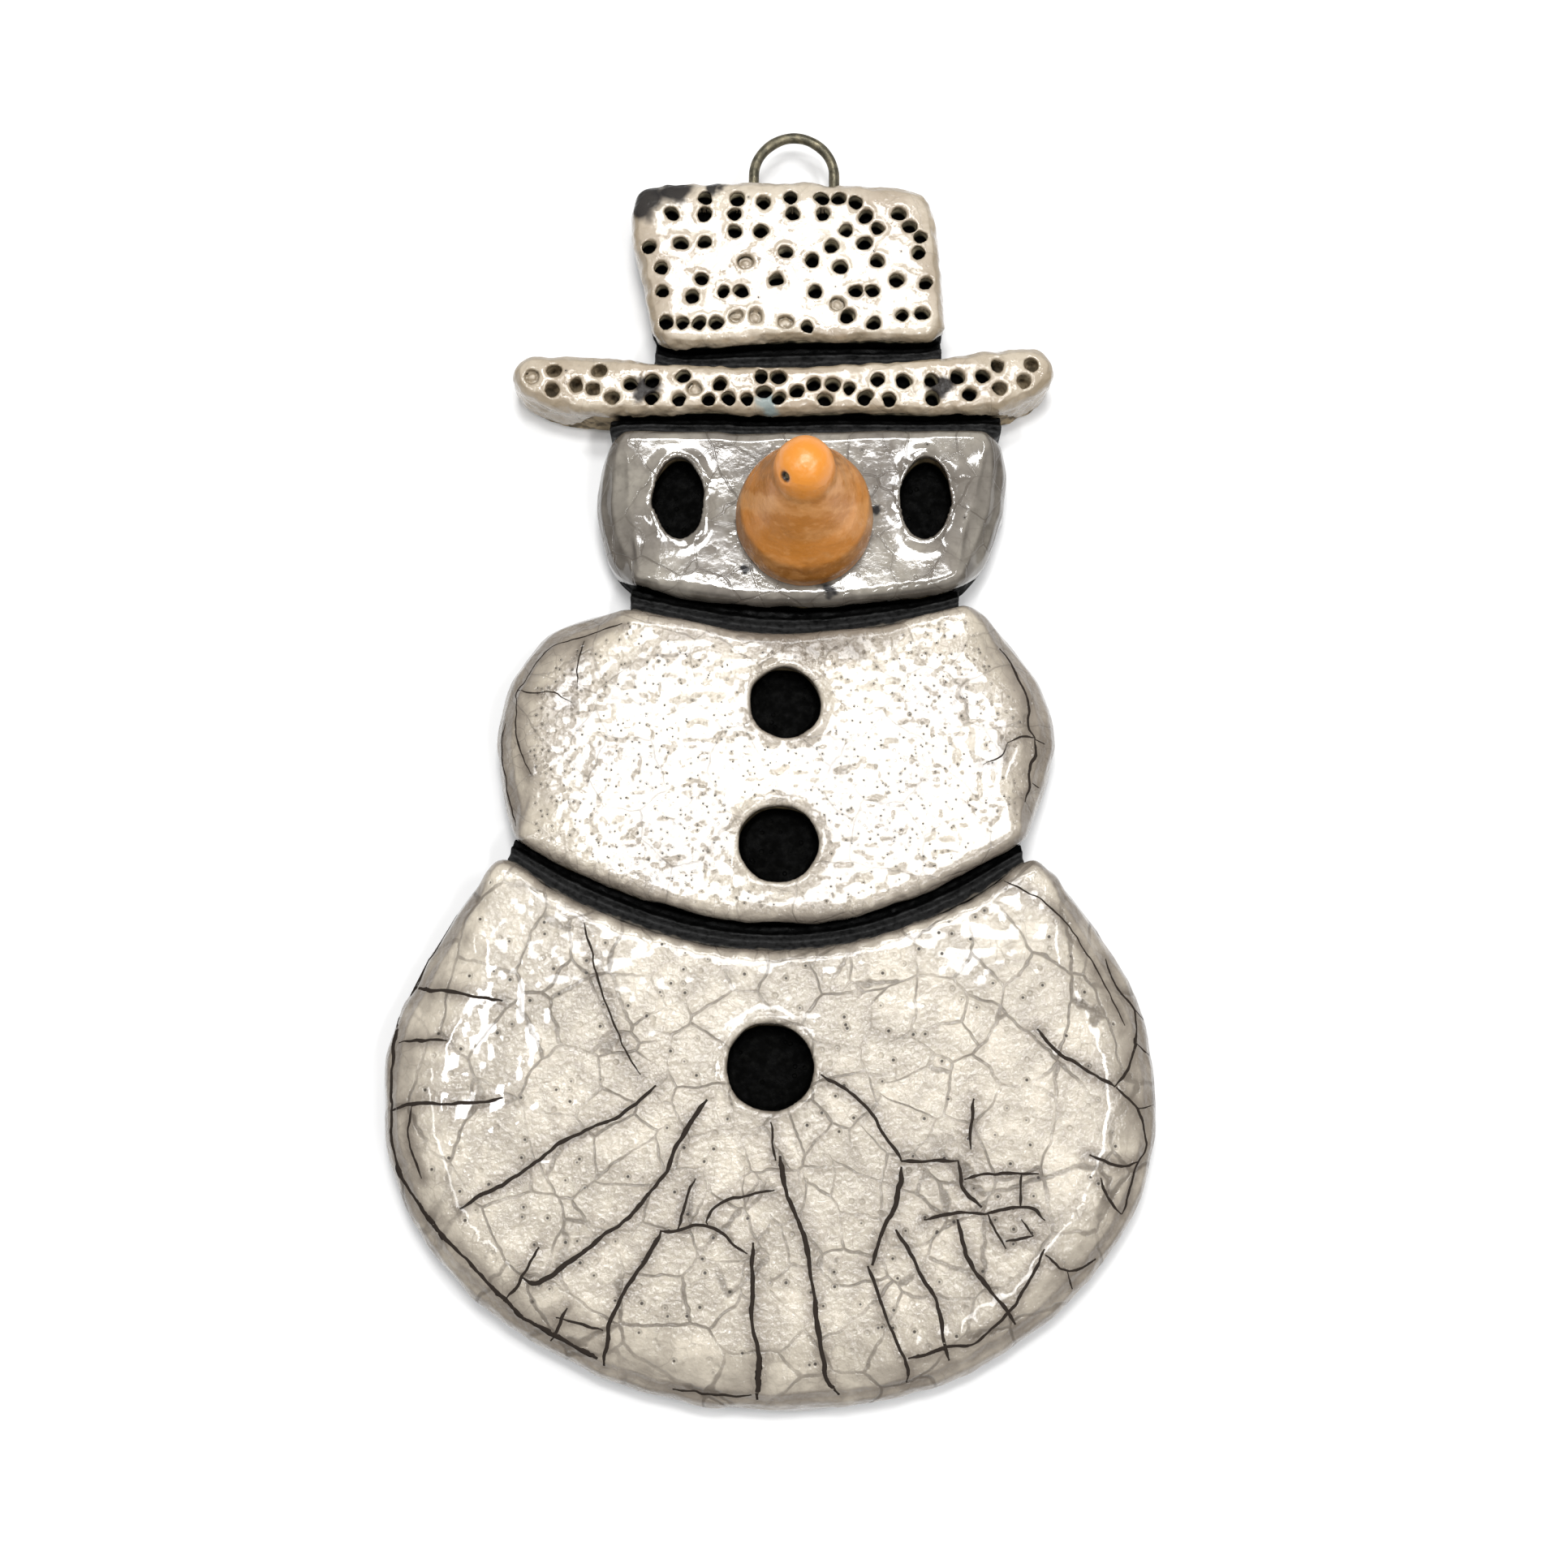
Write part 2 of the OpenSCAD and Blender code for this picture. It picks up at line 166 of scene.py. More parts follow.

# The glazes. cream and shade: their two colours. grime: the colour of the smoke in them, which also
# paints shade on their steep parts and in bands along their edges, grooves and pits. net and fine:
# cell size, line width and darkness of the wide and the fine net of cracks. pins: cell size, radius
# and share of the pinholes. ripple: depth of the small and the large ripple. centre: what the wide
# net circles round, if anything.
GRIME_AND_SHADE, HAT_GRIME_AND_SHADE = (0.15, 0.125, 0.1, 1), (0.24, 0.19, 0.125, 1)
GLAZES = {
    "base": {
        "cream": (0.585, 0.525, 0.43, 1), "shade": (0.43, 0.385, 0.315, 1), "grime_and_shade": GRIME_AND_SHADE,
        "net": (4.4, 0.15, 0.65), "fine": (1.5, 0.07, 0.2), "pins": (1.3, 0.2, 0.75),
        "ripple": (0.15, 0.07), "centre": (0, -29.8),
    },
    "chest": {
        "cream": (0.55, 0.49, 0.395, 1), "shade": (0.37, 0.325, 0.265, 1), "grime_and_shade": GRIME_AND_SHADE,
        "net": (5.5, 0.1, 0.35), "fine": (1.3, 0.06, 0.3), "pins": (0.52, 0.115, 0.65),
        "ripple": (0.15, 0.05),
    },
    "head": {
        "cream": (0.31, 0.285, 0.24, 1), "shade": (0.2, 0.18, 0.155, 1), "grime_and_shade": (0.06, 0.05, 0.04, 1),
        "net": (4, 0.12, 0.5), "fine": (1.4, 0.06, 0.2), "pins": (1.6, 0.15, 0.3),
        "ripple": (0.014, 0.025),
    },
    "brim": {
        "cream": (0.56, 0.49, 0.39, 1), "shade": (0.4, 0.33, 0.25, 1), "grime_and_shade": HAT_GRIME_AND_SHADE,
        "net": (6, 0.06, 0.1), "fine": (1.5, 0.05, 0.1), "pins": (1.2, 0.12, 0.3),
        "ripple": (0.09, 0.14),
    },
    "crown": {
        "cream": (0.6, 0.53, 0.43, 1), "shade": (0.45, 0.38, 0.3, 1), "grime_and_shade": HAT_GRIME_AND_SHADE,
        "net": (6, 0.06, 0.1), "fine": (1.5, 0.05, 0.1), "pins": (1.2, 0.12, 0.3),
        "ripple": (0.09, 0.14),
    },
}
SLOTS = {"head": "grey_crackle_glaze"}  # the slots of coats that aren't plain crackle_glaze

# Stains in the glaze as (place, radius, colour), each colour ending with its strength. The chest's
# umber patches are painted shade where its face slopes into the neck groove.
SOOT, CRYSTAL, NECK_GROOVE_SHADE = (0.015, 0.015, 0.017, 0.95), (0.2, 0.27, 0.28, 0.8), (0.13, 0.105, 0.08, 0.5)
STAINS_AND_SHADE = {
    "crown": [((-11.8, 51.6), 2.6, SOOT), ((-9, 52.6), 2.2, SOOT), ((-5.4, 52.8), 1.2, SOOT)],
    "brim": [((-11.6, 33), 1.8, SOOT), ((15.6, 33), 1.8, SOOT), ((-0.3, 31.4), 1.3, CRYSTAL)],
    # Painted shade: umber patches along the chest's top, where the face slopes into the neck groove.
    "chest": [
        ((0.5, 9.2), 2.0, NECK_GROOVE_SHADE), ((3.5, 8.8), 2.8, NECK_GROOVE_SHADE), ((7, 9), 3.0, NECK_GROOVE_SHADE), ((10.5, 9.6), 2.4, NECK_GROOVE_SHADE),
    ],
    "head": [((5.2, 13.9), 1.1, SOOT), ((9.5, 21.2), 0.9, SOOT), ((-2.3, 15.6), 0.8, SOOT)],
}

# Bands of colour round the nose: bottom, top and strength, which is brown above a half and orange below it
NOSE_BANDS = [(10.5, 12.5, 0.4), (7.8, 9.4, 0.7)]

# Bold smoked cracks as (width, points along it)
BASE_CRACKS = [
    (0.24, [(-32.5, -22.5), (-29, -23), (-23.5, -24)]),
    (0.2, [(-33, -27.5), (-28.5, -27.5)]),
    (0.24, [(-33.5, -33.5), (-31.5, -33), (-27, -33), (-23.5, -32.5)]),
    (0.26, [(-10, -31.5), (-13, -34), (-17.5, -36), (-22.5, -39.5), (-27, -42)]),
    (0.3, [
        (-5.5, -32.5), (-7.5, -35.5), (-9.5, -39.5), (-12, -42.5), (-16.5, -46), (-20, -48.5), (-21.5, -48),
    ]),
    (0.2, [(-20, -45.5), (-21.5, -48), (-23, -50)]),
    (0.2, [(-31.5, -33), (-31.8, -36), (-30.5, -39.5)]),
    (0.3, [
        (-27.5, -14.5), (-30, -19), (-32.5, -22), (-33.5, -28), (-33.5, -33), (-33, -38),
        (-31, -41.5), (-28.5, -44.5), (-26, -47), (-23, -50), (-20.5, -52), (-15, -55),
    ]),
    (0.24, [(-8.5, -57.5), (-4.5, -58), (-1.5, -58)]),
    (0.12, [(20.5, -13), (25, -15.5), (28.5, -20), (31.5, -26)]),
    (0.3, [(-9.5, -44), (-11.5, -47.5), (-13, -50), (-14, -52.5), (-14.5, -55.5)]),
    (0.24, [(-9.5, -44), (-8, -44), (-5.5, -43.5), (-2, -46)]),
    (0.2, [(0.5, -40.5), (-4, -41.5), (-5.5, -43), (-5.5, -43.5)]),
    (0.2, [(-6.5, -39.5), (-7.5, -42), (-8, -44)]),
    (0.3, [(-1.5, -45), (-1.5, -49), (-1.5, -51.5), (-1, -55), (-1, -58.5)]),
    (0.18, [(0, -34.5), (0.5, -38)]),
    (0.32, [(1, -37.5), (1.5, -41), (3, -44.5), (3.5, -47.5), (4, -51), (4.5, -54.5), (5, -57), (6, -58)]),
    (0.22, [(4.5, -30.5), (7, -32), (9, -34), (11.5, -38)]),
    (0.32, [(11.5, -38.5), (11, -41.5), (9.5, -44.5), (9, -47)]),
    (0.24, [(8.5, -47), (10, -51), (11, -53.5), (12, -56), (12, -57)]),
    (0.24, [(11.5, -38), (14.5, -38), (16.5, -38)]),
    (0.22, [(18, -32.5), (17.5, -35), (17.5, -37)]),
    (0.28, [(16.5, -38), (17, -40.5), (18.5, -42)]),
    (0.22, [(17, -39.5), (20, -39), (23.5, -39)]),
    (0.2, [(22, -39), (22, -42)]),
    (0.22, [(18.5, -42.5), (22.5, -42), (24, -43)]),
    (0.22, [(13.5, -43), (16.5, -42.5), (19, -42.5)]),
    (0.28, [(16.5, -43), (17, -46), (18.5, -48.5), (20, -50), (21.5, -52)]),
    (0.18, [(19, -42.5), (20.5, -45.5)]),
    (0.18, [(20.5, -45), (23, -44.5)]),
    (0.18, [(22, -43), (23, -44.5)]),
    (0.26, [(11, -44), (13, -47.5), (14.5, -50), (15, -53.5), (15.5, -55)]),
    (0.22, [(12, -55), (15, -54), (18, -53.5), (21, -50.5), (23.5, -46.5), (24, -45.5)]),
    (0.26, [(23.5, -26.5), (26, -29), (30.5, -31.5)]),
    (0.22, [(28, -37.5), (30.5, -38.5), (32.5, -38)]),
    (0.2, [(29, -39.5), (30, -41.5), (31, -42.5)]),
    (0.22, [(24, -46), (26, -47.5), (28.5, -46.5)]),
    (0.18, [(26, -47.5), (26.5, -49)]),
    (0.2, [(-18.5, -51.5), (-14.5, -52.5)]),
    (0.2, [(-17.5, -50.5), (-19, -53.5)]),
    (0.14, [(-16.5, -17), (-15.5, -21), (-13.5, -26.5), (-11.5, -30.5)]),
    (0.2, [(30, -20), (31, -22.5), (32.5, -24.5), (32.5, -27.5), (31.5, -30), (30.5, -31.5)]),
    (0.16, [(32.5, -24.5), (33.6, -25.5)]),
    (0.16, [(32.5, -27.5), (33.8, -28.5)]),
    (0.2, [(30.5, -31.5), (32.5, -33.5), (33.3, -36.5), (32, -39), (31, -42.5)]),
    (0.16, [(32.5, -33.5), (34, -33)]),
]
CHEST_CRACKS = [
    (0.2, [(21, 8.5), (22, 7), (23, 4.5), (23.5, 3), (23.5, 1), (24, 0)]),
    (0.16, [(24, 0), (25, -0.5)]),
    (0.2, [(24, 0), (24, -1.5), (23.5, -2.5), (23.5, -4.5), (23, -6)]),
    (0.14, [(23.5, -4), (24.5, -4.5)]),
    (0.16, [(21.5, -0.5), (22.5, 0), (24, 0)]),
    (0.12, [(19, -2.5), (20.5, -2), (21.5, -0.5)]),
    (0.12, [
        (-13.5, 10.5), (-17, 9.5), (-20, 8.5), (-22, 6), (-23, 4.5), (-23, 3), (-23, 0.5), (-22.5, -1.5),
        (-21.5, -3.5),
    ]),
    (0.1, [(-17, 9), (-17.5, 7), (-17.5, 5)]),
    (0.1, [(-23, 4.5), (-21.5, 4), (-19.5, 4), (-18, 3)]),
    (0.14, [(-24, 1.5), (-24.5, -0.5), (-24, -3.5), (-23.5, -6), (-23, -8)]),
]
CRACKS = {"base": BASE_CRACKS, "chest": CHEST_CRACKS}


# Number work


def wave(points, size, seed):
    """Smooth seeded noise from -1 to 1, with bumps about size millimetres across."""
    q = points / size + 31.7 * seed
    cell = np.floor(q).astype(np.int64)
    t = q - cell
    t = t * t * (3 - 2 * t)
    total = np.zeros(len(points))
    for corner in np.ndindex(2, 2, 2):
        c = cell + corner
        h = (c[:, 0] * 73856093) ^ (c[:, 1] * 19349663) ^ (c[:, 2] * 83492791) ^ (seed * 2654435)
        h = (h ^ (h >> 13)) * 1274126177
        value = ((h ^ (h >> 16)) & 0xFFFF) / 32767.5 - 1
        total += value * np.prod(np.where(corner, t, 1 - t), axis=1)
    return total


def layered(points, layers, seed):
    """A sum of waves given as (size, height) pairs."""
    return sum(height * wave(points, size, seed + i) for i, (size, height) in enumerate(layers))


def step(x, low, high):
    """0 below low, 1 above high, smooth between."""
    t = np.clip((x - low) / (high - low), 0, 1)
    return t * t * (3 - 2 * t)


def hump(x, centre, width):
    """A smooth hump, 1 at centre."""
    return np.exp(-(((x - centre) / width) ** 2))


def nearest(points, targets):
    """Distance from each point to the nearest target; both may be flat."""
    pad = [0] * (3 - targets.shape[1])
    tree = KDTree(len(targets))
    for i, p in enumerate(targets):
        tree.insert([*p, *pad], i)
    tree.balance()
    return np.array([tree.find([*p, *pad])[2] for p in points])


# Mesh work


def coords(mesh):
    co = np.empty(len(mesh.vertices) * 3)
    mesh.vertices.foreach_get("co", co)
    return co.reshape(-1, 3)


def set_coords(mesh, co):
    mesh.vertices.foreach_set("co", co.astype(np.float32).ravel())
    mesh.update()


def normals(mesh):
    out = np.empty(len(mesh.vertices) * 3, np.float32)
    mesh.vertex_normals.foreach_get("vector", out)
    return out.reshape(-1, 3).astype(float)


def gathered(*nodes):
    """A new welded mesh in millimetres of these CAD nodes together."""
    bm = bmesh.new()
    for n in nodes:
        bm.from_mesh(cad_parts[n].data)
    bmesh.ops.scale(bm, vec=(1 / MM,) * 3, verts=bm.verts)
    return finished_mesh(bm, nodes[0], weld=0.0005)


def finished_mesh(bm, name, weld=0.0):
    if weld:
        bmesh.ops.remove_doubles(bm, verts=bm.verts, dist=weld)
    mesh = bpy.data.meshes.new(name)
    bm.to_mesh(mesh)
    bm.free()
    return mesh


def modified(mesh, kind, **settings):
    """The mesh after one modifier."""
    holder = bpy.data.objects.new("holder", mesh)
    bpy.context.scene.collection.objects.link(holder)
    modifier = holder.modifiers.new(kind.lower(), kind)
    for key, value in settings.items():
        setattr(modifier, key, value)
    depsgraph = bpy.context.evaluated_depsgraph_get()
    made = bpy.data.meshes.new_from_object(holder.evaluated_get(depsgraph), depsgraph=depsgraph)
    bpy.data.objects.remove(holder)
    return made


def remeshed(mesh, voxel):
    """A mesh rebuilt as one even shell of about that face size."""
    return largest_part(modified(mesh, "REMESH", mode="VOXEL", voxel_size=voxel))


def parts_of(bm):
    """The vertices of each connected part of a bmesh."""
    seen, parts = set(), []
    for start in bm.verts:
        if start.index in seen:
            continue
        seen.add(start.index)
        part, edge = [start], [start]
        while edge:
            v = edge.pop()
            for e in v.link_edges:
                w = e.other_vert(v)
                if w.index not in seen:
                    seen.add(w.index)
                    part.append(w)
                    edge.append(w)
        parts.append(part)
    return parts


def largest_part(mesh):
    """The mesh without its loose crumbs."""
    bm = bmesh.new()
    bm.from_mesh(mesh)
    parts = sorted(parts_of(bm), key=len)
    if len(parts) > 1:
        bmesh.ops.delete(bm, geom=[v for p in parts[:-1] for v in p], context="VERTS")
    return finished_mesh(bm, mesh.name)


def relaxed(mesh, rounds, share=0.5):
    """Smooths a mesh a little by moving each vertex toward its neighbours."""
    edges = np.empty(len(mesh.edges) * 2, np.int64)
    mesh.edges.foreach_get("vertices", edges)
    a, b = edges.reshape(-1, 2).T
    co = coords(mesh)
    count = np.bincount(np.concatenate([a, b]), minlength=len(co))[:, None]
    for _ in range(rounds):
        total = np.zeros_like(co)
        for axis in range(3):
            total[:, axis] = np.bincount(a, co[b, axis], len(co)) + np.bincount(b, co[a, axis], len(co))
        co = co + share * (total / count - co)
    set_coords(mesh, co)
    return mesh


def pushed(mesh, amount):
    """Moves a mesh's vertices out along their normals."""
    set_coords(mesh, coords(mesh) + normals(mesh) * np.asarray(amount).reshape(-1, 1))
    return mesh


def cut(mesh, cutter):
    """mesh with cutter taken away, as one clean shell."""
    tool = bpy.data.objects.new("tool", cutter)
    bpy.context.scene.collection.objects.link(tool)
    made = modified(mesh, "BOOLEAN", object=tool, operation="DIFFERENCE", solver="MANIFOLD")
    bpy.data.objects.remove(tool)
    return largest_part(made)


def piece(name, mesh, material, slot, *replaced):
    """A finished piece of the object, taken from millimetres to metres."""
    set_coords(mesh, coords(mesh) * MM)
    mesh.polygons.foreach_set("use_smooth", np.ones(len(mesh.polygons), bool))
    obj = bpy.data.objects.new(name, mesh)
    bpy.context.scene.collection.objects.link(obj)
    obj.data.materials.clear()
    obj.data.materials.append(material)
    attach(obj, "root")
    if replaced:
        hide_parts(*replaced)
    return obj


def face_tree(mesh):
    """A search tree of a mesh's faces."""
    faces = [tuple(p.vertices) for p in mesh.polygons]
    return BVHTree.FromPolygons([Vector(v) for v in coords(mesh)], faces)


def store(mesh, name, values):
    """Keeps one number for each vertex, for a material to read."""
    attribute = mesh.attributes.new(name, "FLOAT", "POINT")
    attribute.data.foreach_set("value", np.asarray(values, np.float32))


def outline_points(node, height):
    """The flat places of a CAD node's points at one height, which outline its foot or its pits' floors."""
    co = coords(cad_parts[node].data) / MM
    return np.unique(co[np.abs(co[:, 2] - height) < 0.01][:, :2].round(3), axis=0)


# Materials


class Shader:
    """One node material, built from small steps. Lengths are in millimetres of the row frame."""

    def __init__(self, name):
        self.material = bpy.data.materials.new(name)
        self.material.use_nodes = True
        self.tree = self.material.node_tree
        self.surface = self.tree.nodes["Principled BSDF"]
        place = self.add("ShaderNodeTexCoord").outputs["Object"]
        self.mm = self.vector("SCALE", place, scale=1 / MM)
        self.bumps = None
        self.dull = None

    def add(self, kind, **settings):
        node = self.tree.nodes.new(kind)
        for key, value in settings.items():
            setattr(node, key, value)
        return node

    def put(self, socket, value):
        if isinstance(value, bpy.types.NodeSocket):
            self.tree.links.new(value, socket)
        else:
            socket.default_value = value

    def vector(self, operation, a, b=None, scale=None):
        node = self.add("ShaderNodeVectorMath", operation=operation)
        self.put(node.inputs[0], a)
        if b is not None:
            self.put(node.inputs[1], b)
        if scale is not None:
            self.put(node.inputs["Scale"], scale)
        return node.outputs["Value" if operation in ("LENGTH", "DISTANCE") else "Vector"]

    def math(self, operation, a, b=0.0):
        node = self.add("ShaderNodeMath", operation=operation)
        self.put(node.inputs[0], a)
        self.put(node.inputs[1], b)
        return node.outputs[0]

    def fade(self, value, low, high, at_low=0.0, at_high=1.0):
        """at_low below low, at_high above high, smooth between."""
        node = self.add("ShaderNodeMapRange", interpolation_type="SMOOTHSTEP")
        for socket, v in zip(node.inputs, (value, low, high, at_low, at_high)):
            self.put(socket, v)
        return node.outputs[0]

    def mix(self, share, a, b):
        node = self.add("ShaderNodeMix", data_type="RGBA")
        self.put(node.inputs[0], share)
        self.put(node.inputs[6], a)
        self.put(node.inputs[7], b)
        return node.outputs[2]

    def noise(self, size, detail=2.0, place=None):
        node = self.add("ShaderNodeTexNoise")
        self.put(node.inputs["Vector"], self.mm if place is None else place)
        node.inputs["Scale"].default_value = 1 / size
        node.inputs["Detail"].default_value = detail
        return node.outputs["Fac"]

    def warped(self, size, reach, place=None):
        """Coordinates pushed about by noise, so that lines drawn on them wander."""
        place = self.mm if place is None else place
        node = self.add("ShaderNodeTexNoise")
        self.put(node.inputs["Vector"], self.mm)
        node.inputs["Scale"].default_value = 1 / size
        shift = self.vector("SUBTRACT", node.outputs["Color"], (0.5, 0.5, 0.5))
        return self.vector("ADD", place, self.vector("SCALE", shift, scale=2 * reach))

    def cracks(self, size, width, place):
        """1 on a net of lines round cells of that size, 0 off them."""
        node = self.add("ShaderNodeTexVoronoi", feature="DISTANCE_TO_EDGE")
        self.put(node.inputs["Vector"], place)
        node.inputs["Scale"].default_value = 1 / size
        away = self.math("MULTIPLY", node.outputs["Distance"], size)
        return self.fade(away, 0.3 * width, width, 1.0, 0.0)

    def specks(self, size, radius, share, place=None):
        """1 in small spots, one to a cell of that size, in that share of the cells."""
        node = self.add("ShaderNodeTexVoronoi")
        self.put(node.inputs["Vector"], self.mm if place is None else place)
        node.inputs["Scale"].default_value = 1 / size
        away = self.math("MULTIPLY", node.outputs["Distance"], size)
        spot = self.fade(away, 0.5 * radius, radius, 1.0, 0.0)
        pick = self.add("ShaderNodeSeparateColor")
        self.put(pick.inputs[0], node.outputs["Color"])
        return self.math("MULTIPLY", spot, self.math("LESS_THAN", pick.outputs[0], share))

    def spot(self, centre, radius, ragged=1.0):
        """1 inside a ragged patch round a point, 0 outside it."""
        reach = self.vector("DISTANCE", self.warped(1.5, ragged), centre)
        return self.fade(reach, 0.5 * radius, radius, 1.0, 0.0)

    def stored(self, name):
        return self.add("ShaderNodeAttribute", attribute_name=name).outputs["Fac"]

    def height(self):
        node = self.add("ShaderNodeSeparateXYZ")
        self.put(node.inputs[0], self.mm)
        return node.outputs[2]

    def bump(self, height, depth_mm):
        """Adds a bump whose height of 1 stands depth_mm tall."""
        node = self.add("ShaderNodeBump")
        node.inputs["Distance"].default_value = depth_mm * MM
        self.put(node.inputs["Height"], height)
        if self.bumps is not None:
            self.put(node.inputs["Normal"], self.bumps)
        self.bumps = node.outputs[0]

    def finish(self, colour, roughness, **more):
        self.put(self.surface.inputs["Base Color"], colour)
        self.put(self.surface.inputs["Roughness"], roughness)
        for key, value in more.items():
            self.put(self.surface.inputs[key.replace("_", " ")], value)
        if self.bumps is not None:
            self.put(self.surface.inputs["Normal"], self.bumps)
        return self.material


def polar(shader, centre, stretch):
    """Coordinates round a point: the angle as a length, then the distance out."""
    away = shader.vector("SUBTRACT", shader.mm, (*centre, 0))
    parts = shader.add("ShaderNodeSeparateXYZ")
    shader.put(parts.inputs[0], away)
    angle = shader.math("ARCTAN2", parts.outputs[0], parts.outputs[1])
    out = shader.vector("LENGTH", away)
    joined = shader.add("ShaderNodeCombineXYZ")
    shader.put(joined.inputs[0], shader.math("MULTIPLY", angle, stretch))
    shader.put(joined.inputs[1], out)
    return joined.outputs[0]


def glaze_material(name, cream, shade, grime_and_shade, net, fine, pins, ripple, centre=None):
    """Crackle glaze, with its colour left open for stains and painted shade. It reads steep and smoke from
    the mesh: steep holds smoke with painted shade on steep faces and in bands along edges, grooves and
    pits, smoke the smoke round cracks and filled dots; dull says where the gloss is off. GLAZES explains
    the settings."""
    s = Shader(name)
    colour = s.mix(s.fade(s.noise(7, 3), 0.35, 0.65), cream, shade)
    colour = s.mix(s.fade(s.noise(0.6, 4), 0.42, 0.75, 0.0, 0.25), colour, grime_and_shade)
    # Painted shade with smoke: steep faces and bands along edges, grooves and pits darken toward the grime
    # colour.
    steep = s.stored("steep")
    rim = s.math("MULTIPLY", steep, s.fade(s.noise(3, 3), 0.3, 0.6, 0.55, 0.92))
    colour = s.mix(rim, colour, grime_and_shade)
    smoke = s.math("MULTIPLY", s.stored("smoke"), s.fade(s.noise(1.4, 3), 0.2, 0.7, 0.4, 0.9))
    colour = s.mix(smoke, colour, grime_and_shade)
    small = s.warped(1.2, 0.25)
    wide = s.cracks(net[0], net[1], s.warped(2.5, 0.5))
    if centre:
        out = s.fade(s.vector("DISTANCE", s.mm, (*centre, FACE)), 8, 12)
        circling = s.cracks(net[0], net[1], s.warped(2.5, 0.5, polar(s, centre, 17.0)))
        inner = s.math("MULTIPLY", wide, s.fade(out, 0, 1, 1, 0))
        wide = s.math("MAXIMUM", s.math("MULTIPLY", circling, out), inner)
    lines = s.math("MULTIPLY", wide, s.fade(s.noise(6, 2), 0.35, 0.6, 0.15, net[2]))
    patchy = s.fade(s.noise(4, 2), 0.4, 0.65, 0.0, fine[2])
    hairs = s.math("MULTIPLY", s.cracks(fine[0], fine[1], small), patchy)
    halo = s.math("MULTIPLY", s.cracks(net[0], 6 * net[1], s.warped(2.5, 0.5)), 0.35 * net[2])
    colour = s.mix(halo, colour, grime_and_shade)
    colour = s.mix(s.math("MAXIMUM", lines, hairs), colour, (0.08, 0.065, 0.052, 1))
    flat = s.vector("MULTIPLY", s.mm, (1, 1, 0))
    level = s.fade(steep, 0, 0.3, 1.0, 0.0)
    pin = s.math("MULTIPLY", s.specks(*pins, flat), level)
    crater = s.math("MULTIPLY", s.specks(pins[0], 1.8 * pins[1], pins[2], flat), level)
    colour = s.mix(s.math("MULTIPLY", pin, 0.9), colour, (0.035, 0.03, 0.027, 1))
    s.dull = s.math("MAXIMUM", s.math("MULTIPLY", lines, 0.8), pin)
    s.bump(s.noise(0.5, 3), ripple[0])
    s.bump(s.noise(1.5, 2), ripple[1])
    s.bump(s.math("MAXIMUM", lines, crater), -0.09)
    return s, colour


def clay_material(name, lining_and_light, lining_foot):
    """Smoked clay. The lining colour stands for the thin glaze on pit walls above lining_foot and is made
    lighter as painted light on those walls, and clay that the smoke didn't reach is stored as bisque."""
    s = Shader(name)
    black, ash, fired = (0.0006, 0.0006, 0.0005, 1), (0.004, 0.004, 0.0035, 1), (0.33, 0.26, 0.17, 1)
    colour = s.mix(s.fade(s.noise(0.6, 4), 0.5, 0.8), black, ash)
    thin = s.fade(s.noise(1.3, 2), 0.35, 0.6, 0.3, 1.0)
    # Painted light: the pit walls above lining_foot turn toward the lighter lining colour, partly thin
    # glaze, partly light falling on them.
    wall = s.fade(s.height(), lining_foot, lining_foot + 0.6)
    colour = s.mix(s.math("MULTIPLY", wall, thin), colour, lining_and_light)
    bisque = s.math("MULTIPLY", s.stored("bisque"), s.fade(s.noise(0.8, 4), 0.35, 0.6, 0.3, 1.0))
    colour = s.mix(bisque, colour, fired)
    s.bump(s.noise(0.35, 4), 0.08)
    s.bump(s.specks(0.9, 0.25, 0.5), -0.06)
    return s.finish(colour, s.fade(s.noise(0.8, 2), 0.3, 0.7, 0.4, 0.7), Specular_IOR_Level=0.02)


def seam_material():
    """Smoked clay in a groove: pitch black under the upper slab, rough dark grey on the slope below, which
    is painted light on the black clay.
    """
    s = Shader("seam_clay")
    across = s.math("ADD", s.stored("across"), s.fade(s.noise(1.5, 3), 0.2, 0.8, -0.1, 0.1))
    black, grey, brown = (0.0008, 0.0008, 0.0008, 1), (0.02, 0.02, 0.02, 1), (0.11, 0.095, 0.075, 1)
    # Painted light: the slope facing the light on the hat side is grey, while the clay under the upper slab
    # keeps its black.
    slope = s.mix(s.fade(s.noise(0.5, 4), 0.4, 0.7), grey, (0.007, 0.007, 0.007, 1))
    colour = s.mix(s.fade(across, 0.36, 0.5), black, slope)
    colour = s.mix(s.fade(across, 0.9, 1.0, 0.0, 0.8), colour, brown)
    s.bump(s.noise(0.35, 4), 0.1)
    return s.finish(colour, s.fade(s.noise(0.8, 2), 0.3, 0.7, 0.4, 0.7), Specular_IOR_Level=0.12)


